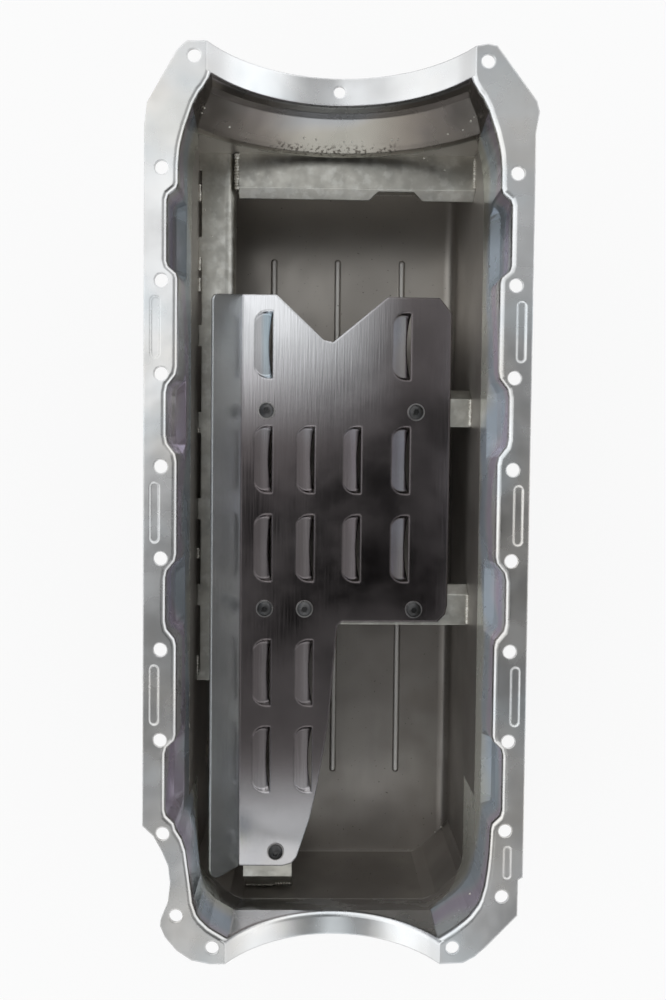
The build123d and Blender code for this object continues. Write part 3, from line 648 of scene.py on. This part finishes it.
# %% [markdown]
# The shank is a plain core with a thread round it. A thread cut out of the core would be slow to work
# out and ragged, so a four-sided section is swept along a spiral that climbs one pitch a turn. Edges
# that turn more than a limit stay sharp, and the rest is shaded smooth.

# %% The screw's tree: shank and thread
core_sides, thread_steps, thread_sides = 32, 24, 4
sharp_above = math.radians(35)

pitch, length = given["Thread pitch"], given["Shank length"]
half_pitch = times(screw_tree, pitch, 0.5)
core_radius = calc(screw_tree, "SUBTRACT", times(screw_tree, given["Shank width"], 0.5), half_pitch)
shank = drum(screw_tree, core_sides, core_radius, length)
shank = lifted(screw_tree, shank, times(screw_tree, length, -0.5))
turns = calc(screw_tree, "DIVIDE", length, pitch)
coil = {0: thread_steps, 1: turns, 2: core_radius, 3: core_radius, 4: length}
coil = make(screw_tree, "GeometryNodeCurveSpiral", coil).outputs[0]
ridge = {0: thread_sides, 4: half_pitch}
ridge = make(screw_tree, "GeometryNodeCurvePrimitiveCircle", ridge).outputs[0]
thread = make(screw_tree, "GeometryNodeCurveToMesh", {0: coil, 1: ridge, "Fill Caps": True}).outputs[0]
thread = lifted(screw_tree, thread, times(screw_tree, length, -1.0))

screw = make(screw_tree, "GeometryNodeJoinGeometry", {0: head})
for shape in (shank, thread):
    screw_tree.links.new(shape, screw.inputs[0])
bend_angle = make(screw_tree, "GeometryNodeInputMeshEdgeAngle").outputs[0]
sharp = calc(screw_tree, "GREATER_THAN", bend_angle, sharp_above)
smooth = make(screw_tree, "GeometryNodeSetShadeSmooth", {0: screw.outputs[0], "Shade Smooth": True})
smooth = make(screw_tree, "GeometryNodeSetShadeSmooth", {0: smooth.outputs[0], 1: sharp, 2: False},
              domain="EDGE").outputs[0]
spots = make(screw_tree, "GeometryNodeInstanceOnPoints", {0: given["Geometry"], 2: smooth}).outputs[0]
close_tree(screw_tree, spots, given)

# %% [markdown]
# The tree runs once on six points, one under each head. Its sizes come from the frame's plain screws
# and washers, which it then stands for, so nothing has to be measured again.

# %% Six screws
rim_height, socket_flats, socket_depth = 0.0011, 0.0040, 0.0020
shank_width, thread_pitch = 0.00635, 0.0013

screw_names = sorted(name for name in nodes if name.startswith("tray_screw"))
lowest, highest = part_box(screw_names[0])
seat_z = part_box("tray_washer_1")[1].z
head_spots = []
for name in screw_names:
    low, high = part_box(name)
    head_spots.append(((low.x + high.x) / 2, (low.y + high.y) / 2, seat_z))
screw_values = {"Head width": highest.x - lowest.x, "Head height": highest.z - seat_z,
                "Rim height": rim_height, "Socket flats": socket_flats, "Socket depth": socket_depth,
                "Shank width": shank_width, "Shank length": seat_z - lowest.z,
                "Thread pitch": thread_pitch, "Material": oxide}
screws = build("button_screws", screw_tree, head_spots, [], screw_values)
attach(screws, "root")
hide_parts(*screw_names)

# %% [markdown]
# A weld bead is a rope of frozen ripples along a seam. The tree turns each line of points into a
# curve, cuts it into short steps, swells and narrows it once per ripple, lets it wander a little, and
# sweeps a round section along it. Half of the rope lies inside the sheets, as fused metal does.

# %% The weld bead's tree
bead_sizes = [(size, "Float") for size in ("Width", "Ripple pitch", "Ripple depth", "Wander", "Seed")]
steps_a_ripple, bead_sides, unevenness = 4.0, 10, 260.0
noise_middle = 0.5
bead_tree, given = new_tree("weld_bead", bead_sizes + [("Material", "Material")])

ripple = given["Ripple pitch"]
seam = make(bead_tree, "GeometryNodeMeshToCurve", {0: given["Geometry"]}).outputs[0]
step = calc(bead_tree, "DIVIDE", ripple, steps_a_ripple)
seam = make(bead_tree, "GeometryNodeResampleCurve", {0: seam, "Length": step}, mode="LENGTH").outputs[0]
passed = make(bead_tree, "GeometryNodeSplineParameter").outputs["Length"]
phase = times(bead_tree, calc(bead_tree, "DIVIDE", passed, ripple), 2 * math.pi)
swing = times(bead_tree, calc(bead_tree, "SINE", phase), given["Ripple depth"])
place = make(bead_tree, "GeometryNodeInputPosition").outputs[0]
uneven = {"Vector": place, "W": given["Seed"], "Scale": unevenness, "Detail": soft_detail}
uneven = make(bead_tree, "ShaderNodeTexNoise", uneven, noise_dimensions="4D").outputs
lump = calc(bead_tree, "SUBTRACT", uneven[0], noise_middle)
size = plus(bead_tree, swing, lump, 1.0)
aside = {0: uneven[1], 1: (noise_middle, noise_middle, noise_middle)}
aside = make(bead_tree, "ShaderNodeVectorMath", aside, operation="SUBTRACT").outputs[0]
aside = {0: aside, "Scale": given["Wander"]}
aside = make(bead_tree, "ShaderNodeVectorMath", aside, operation="SCALE").outputs[0]
seam = make(bead_tree, "GeometryNodeSetPosition", {0: seam, "Offset": aside}).outputs[0]
round_section = {0: bead_sides, 4: times(bead_tree, given["Width"], 0.5)}
round_section = make(bead_tree, "GeometryNodeCurvePrimitiveCircle", round_section).outputs[0]
rope = {0: seam, 1: round_section, "Scale": size, "Fill Caps": True}
rope = make(bead_tree, "GeometryNodeCurveToMesh", rope).outputs[0]
rope = make(bead_tree, "GeometryNodeSetShadeSmooth", {0: rope, "Shade Smooth": True}).outputs[0]
close_tree(bead_tree, rope, given)

# %% A helper that welds along seams


def weld(name, seams, width, pitch, seed, depth=0.12, wander=0.0006):
    """Weld beads along lists of points, as one piece."""
    points, edges = [], []
    for seam in seams:
        start = len(points)
        points += [tuple(point) for point in seam]
        edges += [(start + n, start + n + 1) for n in range(len(seam) - 1)]
    values = {"Width": width, "Ripple pitch": pitch, "Ripple depth": depth, "Wander": wander,
              "Seed": seed, "Material": bead_steel}
    piece = build(name, bead_tree, points, edges, values)
    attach(piece, "root")
    return piece


print("helper: weld")

# %% [markdown]
# Inside, short beads hold the strips: across the right end of each bar and at both ends of the front
# plate. The left one is fatter, because it also fills the corner there. A seam is only a line of two
# points, since the tree does the rest. The points come from the boxes of the solids that are joined,
# stepped in a little from each edge.

# %% Welds on the bars and the front plate
inset = 0.0004
bar_inset, bar_back, bar_front = 0.0006, 0.0078, 0.0010
bar_welds = []
for name in ("front_crossbar", "rear_crossbar"):
    low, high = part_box(name)
    bar_welds.append([(high.x - inset, high.y - bar_back, high.z),
                      (high.x - bar_inset, low.y + bar_front, high.z)])

right_ends, left_ends, left_inset = (0.0020, 0.0080), (0.0010, 0.0050), 0.0010
left_drops = (0.0018, 0.0022)
low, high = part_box("front_baffle")
plate_right = [(high.x - inset, high.y - right_ends[0], high.z),
               (high.x - inset, low.y + right_ends[1], high.z)]
plate_left = [(low.x - left_inset, high.y - left_ends[0], high.z - left_drops[0]),
              (low.x - left_inset, low.y + left_ends[1], high.z - left_drops[1])]
weld("strip_welds", bar_welds + [plate_right], width=0.0030, pitch=0.0016, seed=1.0)
weld("corner_weld", [plate_left], width=0.0046, pitch=0.0022, seed=7.0)

# %% [markdown]
# The shelf is stitched to the left wall: a bead, a gap, a bead. The tail bracket stands on two beads
# at its foot, the right one set a little forward and higher.

# %% Welds on the shelf and the bracket
stitches = [(0.2130, 0.2010), (0.1590, 0.1490), (0.1430, 0.1330), (0.0300, 0.0260), (-0.0620, -0.0700),
            (-0.1450, -0.1600)]
shelf_low, shelf_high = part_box("side_baffle")
stitch_inset = 0.0006
stitch_x, stitch_z = shelf_low.x + stitch_inset, shelf_high.z
seams = [[(stitch_x, start, stitch_z), (stitch_x, end, stitch_z)] for start, end in stitches]
weld("shelf_stitches", seams, width=0.0024, pitch=0.0014, seed=2.0)

foot_in, foot_up = 0.0036, 0.0052
left_run, right_from = (0.0005, 0.0230), 0.0240
right_forward, right_up, right_inset = 0.0030, 0.0042, 0.0003
low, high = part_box("tray_bracket")
foot_y, foot_z = low.y + foot_in, low.z + foot_up
left_bead = [(low.x + run, foot_y, foot_z) for run in left_run]
right_bead = [(x, foot_y + right_forward, foot_z + right_up)
              for x in (low.x + right_from, high.x - right_inset)]
weld("bracket_welds", [left_bead, right_bead], width=0.0048, pitch=0.0022, seed=3.0, depth=0.20)

# %% [markdown]
# Outside, a long seam joins the stamping's skirt to the sump on each side. At the front a seam runs
# down, under and up again where the bent sheet meets the front wall. The drain bung has a ring of
# weld around its foot.

# %% Welds outside
shell_low, shell_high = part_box("sump_shell")
front_low, front_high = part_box("sump_front_wall")
seam_z = shell_high.z
seam_step, seam_rear = 0.0015, -0.2400
seam_front = front_high.y - seam_step
side_seams = [[(x, seam_front, seam_z), (x, seam_rear, seam_z)] for x in (shell_low.x, shell_high.x)]
weld("skirt_seams", side_seams, width=0.0028, pitch=0.0018, seed=4.0)

bend_radius, arc_steps = 0.0100, 8
seam_lift, end_inset = 0.0006, 0.0002
seam_low = front_low.z + seam_lift


def end_seam(y, top_z):
    """The line of a U seam: down one side, round the bend, across the floor and up the other side."""
    line = [(front_low.x, y, top_z)]
    for side, turn_from in ((-1, math.pi), (1, 1.5 * math.pi)):
        centre_x = side * (front_high.x - bend_radius)
        for step in range(arc_steps + 1):
            angle = turn_from + step * math.pi / 2 / arc_steps
            line.append((centre_x + bend_radius * math.cos(angle), y,
                         seam_low + bend_radius * (1 + math.sin(angle))))
    return line + [(front_high.x, y, top_z)]


weld("end_seam", [end_seam(front_high.y - end_inset, seam_z)], width=0.0026, pitch=0.0018, seed=5.0)

ring_steps = 48
bung_low, bung_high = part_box("drain_bung")
bung_y, bung_z = (bung_low.y + bung_high.y) / 2, (bung_low.z + bung_high.z) / 2
bung_radius = (bung_high.y - bung_low.y) / 2
angles = [step * 2 * math.pi / ring_steps for step in range(ring_steps + 1)]
ring = [(shell_low.x, bung_y + bung_radius * math.cos(angle), bung_z + bung_radius * math.sin(angle))
        for angle in angles]
weld("bung_weld", [ring], width=0.0030, pitch=0.0018, seed=6.0)

# %% [markdown]
# Spatter is what a weld leaves beside itself: small frozen drops. They are one small ball repeated,
# so a tree sets a ball on points, with a random size from a fixed seed.

# %% The drop's tree
drop_rounds, least_drop, largest_drop = 2, 0.45, 1.25
drop_sizes = [("Width", "Float"), ("Seed", "Int"), ("Material", "Material")]
drop_tree, given = new_tree("weld_drop", drop_sizes)
ball = {0: times(drop_tree, given["Width"], 0.5), 1: drop_rounds}
ball = make(drop_tree, "GeometryNodeMeshIcoSphere", ball).outputs[0]
ball = make(drop_tree, "GeometryNodeSetShadeSmooth", {0: ball, "Shade Smooth": True}).outputs[0]
growth = {2: least_drop, 3: largest_drop, "Seed": given["Seed"]}
growth = make(drop_tree, "FunctionNodeRandomValue", growth, data_type="FLOAT").outputs[1]
drops = {0: given["Geometry"], 2: ball, "Scale": growth}
drops = make(drop_tree, "GeometryNodeInstanceOnPoints", drops).outputs[0]
close_tree(drop_tree, drops, given)

# %% [markdown]
# The drops lie mostly along the ledge under the front saddle, with a few on the front plate, the
# shelf and the sump. Scattered at random they would lie where the picture has none, so each is placed
# by the pixel where it shows, on the solid behind it.

# %% Drops where the picture shows them
drop_width, drop_seed = 0.0015, 11
drop_pixels = {
    "pan_body": [(204.5, 108), (202, 113), (229.5, 127), (304, 138), (316, 139.5), (344, 142),
                 (352, 142), (362, 141.5), (392, 140), (398, 139.5), (448, 134), (463, 130),
                 (474, 117), (471, 121), (470, 894)],
    "sump_shell": [(408, 850), (435, 832), (441, 827)],
    "front_baffle": [(427.5, 161), (424, 158), (445, 170)],
    "side_baffle": [(205, 210), (212, 236)],
}
drop_spots = [tuple(seen_at(name, *pixel)) for name, pixels in drop_pixels.items() for pixel in pixels]
drop_values = {"Width": drop_width, "Seed": drop_seed, "Material": bead_steel}
drops = build("weld_drops", drop_tree, drop_spots, [], drop_values)
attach(drops, "root")
